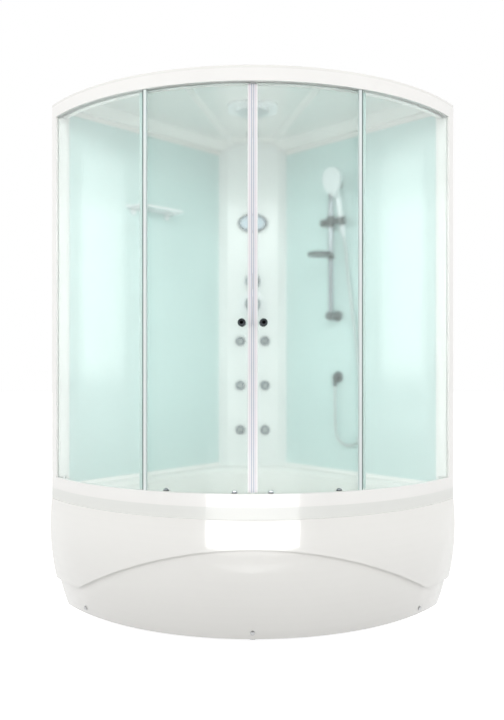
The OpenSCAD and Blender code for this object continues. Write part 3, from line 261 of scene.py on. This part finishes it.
FINISHES = {
    "acrylic": dict(color="F4F3EF", rough=0.22, vary=0.006, scale=2.5, coat=1.0, rough_vary=0.03),
    "tray_acrylic": dict(color="EDEEEA", rough=0.3, vary=0.006, scale=2.5, coat=0.25, rough_vary=0.03),
    "white_profile": dict(color="FAF9F6", rough=0.3, vary=0.008, scale=5, coat=0.8),
    "mint_panel": dict(color="CEE5E2", rough=0.14, vary=0.012, scale=1.6, coat=0.3, rough_vary=0.03),
    "column_moulding": dict(color="EAEEEC", rough=0.2, vary=0.006, scale=3, coat=0.3, rough_vary=0.03),
    "frame_steel": dict(color="8D9092", rough=0.42, metallic=0.85, vary=0.06, scale=22, bump=0.05),
    "bare_steel": dict(color="B9BABB", rough=0.3, metallic=1, vary=0.05, scale=30, bump=0.05),
    # painted shade: the chrome's base colour is darkened to a mid grey that stands in for the shade and dark
    # reflections on the fittings behind the glass
    "chrome_metal": dict(color="9EA4A8", rough=0.07, metallic=1, vary=0.01, scale=8, rough_vary=0.02),
    # painted shade: a darkened copy of chrome for the oval ring, its near-black base colour standing in for
    # shade and dark reflections
    "painted_shade_chrome": dict(color="2E3436", rough=0.14, metallic=1, vary=0.02, scale=8, rough_vary=0.02),
    # painted reflection: a near-black base colour on the door knobs' chrome stands in for the dark
    # reflections that make them look black
    "knob_painted_reflection": dict(color="45494C", rough=0.04, metallic=1, vary=0.01, scale=8, rough_vary=0.01),
    "handset_satin": dict(color="DFE7E7", rough=0.22, vary=0.01, scale=8, coat=0.3),
    # painted shade: the jets get a dark grey half-metal base colour that stands in for the shade and dark
    # reflections on their chrome
    "jet_painted_shade": dict(color="5F696D", rough=0.3, metallic=0.5, vary=0.03, scale=24, coat=0.2),
    "cast_brass": dict(color="B99A5B", rough=0.38, metallic=1, vary=0.07, scale=26, bump=0.15),
    "wheel_plastic": dict(color="E9E8E4", rough=0.45, vary=0.015, scale=20),
    "grey_plastic": dict(color="46514F", rough=0.3, metallic=0.3, vary=0.03, scale=24, coat=0.2),
    "white_plastic": dict(color="F1F4F4", rough=0.2, vary=0.008, scale=8, coat=0.3),
    "spray_plate": dict(color="C6CFCF", rough=0.42, vary=0.03, scale=30, bump=0.05),
    "display_panel": dict(color="B4C7D4", rough=0.1, vary=0.02, scale=10, coat=0.5),
    "lamp_plastic": dict(color="A3AAAA", rough=0.3, vary=0.02, scale=16),
    "hose_sleeve": dict(color="C4CECC", rough=0.32, metallic=0.3, vary=0.03, scale=30),
    "pipe_plastic": dict(color="D7D8D4", rough=0.45, vary=0.02, scale=18, bump=0.04),
}
looks = {name: material(name, **values) for name, values in FINISHES.items()}
looks["curved_glass"] = glass_material("curved_glass", "F8FCFB", rough=0.1, haze=0.08)
looks["door_glass"] = glass_material("door_glass", "F8FCFB", rough=0.1, haze=0.08, mirrors=0.12)
looks["seal"] = seal_material()

# Nodes whose finish differs from the others in their material slot
OWN_FINISH = {
    "tray": "tray_acrylic",
    "oval_ring": "painted_shade_chrome",
    "jet_bodies": "jet_painted_shade",
    "left_door_glass": "door_glass",
    "right_door_glass": "door_glass",
    "left_door_knob": "knob_painted_reflection",
    "right_door_knob": "knob_painted_reflection",
    "handset": "handset_satin",
    "handset_faceplate": "handset_satin",
}
slot_of = {s["node"]: s["material_slot"] for s in frame["record"]["subparts"]}
for name, obj in nodes.items():
    obj.data.materials.clear()
    obj.data.materials.append(looks[OWN_FINISH.get(name, slot_of[name])])
for piece in (hose, hose_top):
    piece.data.materials.append(looks["hose_sleeve"])

# Studio: a pale floor and a white world where they are seen, and less light from them on the object
FLOOR_SIZE = 40
FLOOR_GLOW = 0.88
WORLD_SEEN = 1.0
WORLD_LIGHT = 0.51


def seen_directly(tree):
    """1 for rays that show the floor or the world itself, also in gloss and through glass"""
    path = tree.nodes.new("ShaderNodeLightPath")
    first = tree.nodes.new("ShaderNodeMath")
    second = tree.nodes.new("ShaderNodeMath")
    first.operation = second.operation = "MAXIMUM"
    tree.links.new(path.outputs["Is Camera Ray"], first.inputs[0])
    tree.links.new(path.outputs["Is Transmission Ray"], first.inputs[1])
    tree.links.new(first.outputs[0], second.inputs[0])
    tree.links.new(path.outputs["Is Glossy Ray"], second.inputs[1])
    return second.outputs[0]


bpy.ops.mesh.primitive_plane_add(size=FLOOR_SIZE)
floor = bpy.context.object
floor.name = "floor"
floor_look = material("floor", "B0B0B0", 0.85, vary=0.004, scale=1.5)
floor.data.materials.append(floor_look)
n, link = floor_look.node_tree.nodes, floor_look.node_tree.links.new
glow = n.new("ShaderNodeEmission")
glow.inputs["Color"].default_value = (1, 1, 1, 1)
glow.inputs["Strength"].default_value = FLOOR_GLOW
both = n.new("ShaderNodeAddShader")
pick = n.new("ShaderNodeMixShader")
link(seen_directly(floor_look.node_tree), pick.inputs["Fac"])
link(n["Principled BSDF"].outputs["BSDF"], both.inputs[0])
link(glow.outputs["Emission"], both.inputs[1])
link(n["Principled BSDF"].outputs["BSDF"], pick.inputs[1])
link(both.outputs["Shader"], pick.inputs[2])
link(pick.outputs["Shader"], n["Material Output"].inputs["Surface"])

world = bpy.data.worlds.new("studio")
scene.world = world
world.use_nodes = True
n, link = world.node_tree.nodes, world.node_tree.links.new
level = n.new("ShaderNodeMapRange")
level.inputs["To Min"].default_value = WORLD_LIGHT
level.inputs["To Max"].default_value = WORLD_SEEN
link(seen_directly(world.node_tree), level.inputs["Value"])
n["Background"].inputs["Color"].default_value = (1, 1, 1, 1)
link(level.outputs["Result"], n["Background"].inputs["Strength"])


def lamp(name, location, target, watts, width, height=None):
    """A soft square or rectangular lamp, aimed at the target, that neither the camera nor gloss shows"""
    data = bpy.data.lights.new(name, "AREA")
    data.energy = watts
    data.size = width
    if height:
        data.shape = "RECTANGLE"
        data.size_y = height
    obj = bpy.data.objects.new(name, data)
    scene.collection.objects.link(obj)
    obj.location = location
    obj.rotation_euler = (Vector(target) - Vector(location)).to_track_quat("-Z", "Y").to_euler()
    obj.visible_camera = False
    obj.visible_glossy = False


lamp("key", (-3.4, -3.2, 1.9), (0, 0, 1.2), watts=16, width=2.2)
lamp("fill", (3.4, -3.2, 1.9), (0, 0, 1.2), watts=14.5, width=2.2)
lamp("left_side", (-3.6, -1.0, 1.8), (0, -0.4, 1.5), watts=25, width=1.7, height=1.8)
lamp("right_side", (3.6, -1.0, 1.8), (0, -0.4, 1.5), watts=22, width=1.7, height=1.8)
lamp("top", (0, -0.6, 4.6), (0, 0, 1.0), watts=28, width=3.0)
lamp("front", (0, -4.4, 3.0), (0, 0, 1.3), watts=53, width=2.4, height=1.4)
lamp("back", (0, 4.2, 2.4), (0, 0, 1.1), watts=60, width=3.0, height=2.0)
lamp("low_front", (0, -4.2, 0.25), (0, 0, 1.2), watts=7, width=2.6, height=0.45)

# Cards that only gloss mirrors: a dark one behind the camera, pale ones beside the cabin, a bright patch
# on the floor with a low edge behind it for the apron's band, and a small patch for the skirt under the arch
CARD_Z = 0.02
PATCH_NEAR_Y, PATCH_NEAR_HALF = -1.78, 0.63
PATCH_FAR_Y, PATCH_FAR_HALF = -4.1, 1.6
EDGE_TOP = 0.3
DARK_Y, DARK_HALF, DARK_LOW, DARK_TOP = -4.6, 4.2, 0.35, 3.6
SKIRT_HALF, SKIRT_NEAR_Y, SKIRT_SIDE_Y, SKIRT_FAR_Y = 0.37, -1.13, -1.19, -1.26
SIDE_X, SIDE_FRONT_Y, SIDE_BACK_Y, SIDE_LOW, SIDE_TOP = 3.5, -2.0, 0.0, 0.5, 2.4


def bright(name, strength):
    """A glowing card's look, which isn't sampled as a lamp"""
    m = material(name, "F4F4F4", 0.9, vary=0.004, scale=2)
    bsdf = m.node_tree.nodes["Principled BSDF"]
    bsdf.inputs["Emission Color"].default_value = (1, 1, 1, 1)
    bsdf.inputs["Emission Strength"].default_value = strength
    m.cycles.emission_sampling = "NONE"
    return m


def mirrored_card(name, look, corners):
    mesh = bpy.data.meshes.new(name)
    mesh.from_pydata(corners, [], [tuple(range(len(corners)))])
    mesh.materials.append(look)
    obj = bpy.data.objects.new(name, mesh)
    scene.collection.objects.link(obj)
    obj.visible_camera = False
    obj.visible_diffuse = False
    obj.visible_transmission = False
    obj.visible_shadow = False


def upright(half_width, y, low, top):
    """The corners of a card that faces the cabin from the front"""
    return [(-half_width, y, low), (half_width, y, low), (half_width, y, top), (-half_width, y, top)]


mirrored_card("dark_card", material("dark_card", "151617", 0.9, vary=0.05, scale=3),
              upright(DARK_HALF, DARK_Y, DARK_LOW, DARK_TOP))
shine = bright("bright_card", 6.2)
mirrored_card("apron_card", shine, [
    (-PATCH_NEAR_HALF, PATCH_NEAR_Y, CARD_Z), (PATCH_NEAR_HALF, PATCH_NEAR_Y, CARD_Z),
    (PATCH_FAR_HALF, PATCH_FAR_Y, CARD_Z), (-PATCH_FAR_HALF, PATCH_FAR_Y, CARD_Z),
])
mirrored_card("rim_card", shine, upright(PATCH_FAR_HALF, PATCH_FAR_Y, CARD_Z, EDGE_TOP))
mirrored_card("skirt_card", bright("skirt_card", 1.8), [
    (-SKIRT_HALF, SKIRT_SIDE_Y, CARD_Z), (0, SKIRT_NEAR_Y, CARD_Z),
    (SKIRT_HALF, SKIRT_SIDE_Y, CARD_Z), (0, SKIRT_FAR_Y, CARD_Z),
])
side_look = bright("side_card", 0.5)
for side in (-1, 1):
    x = side * SIDE_X
    mirrored_card("side_card_%d" % side, side_look, [
        (x, SIDE_FRONT_Y, SIDE_LOW), (x, SIDE_BACK_Y, SIDE_LOW),
        (x, SIDE_BACK_Y, SIDE_TOP), (x, SIDE_FRONT_Y, SIDE_TOP),
    ])
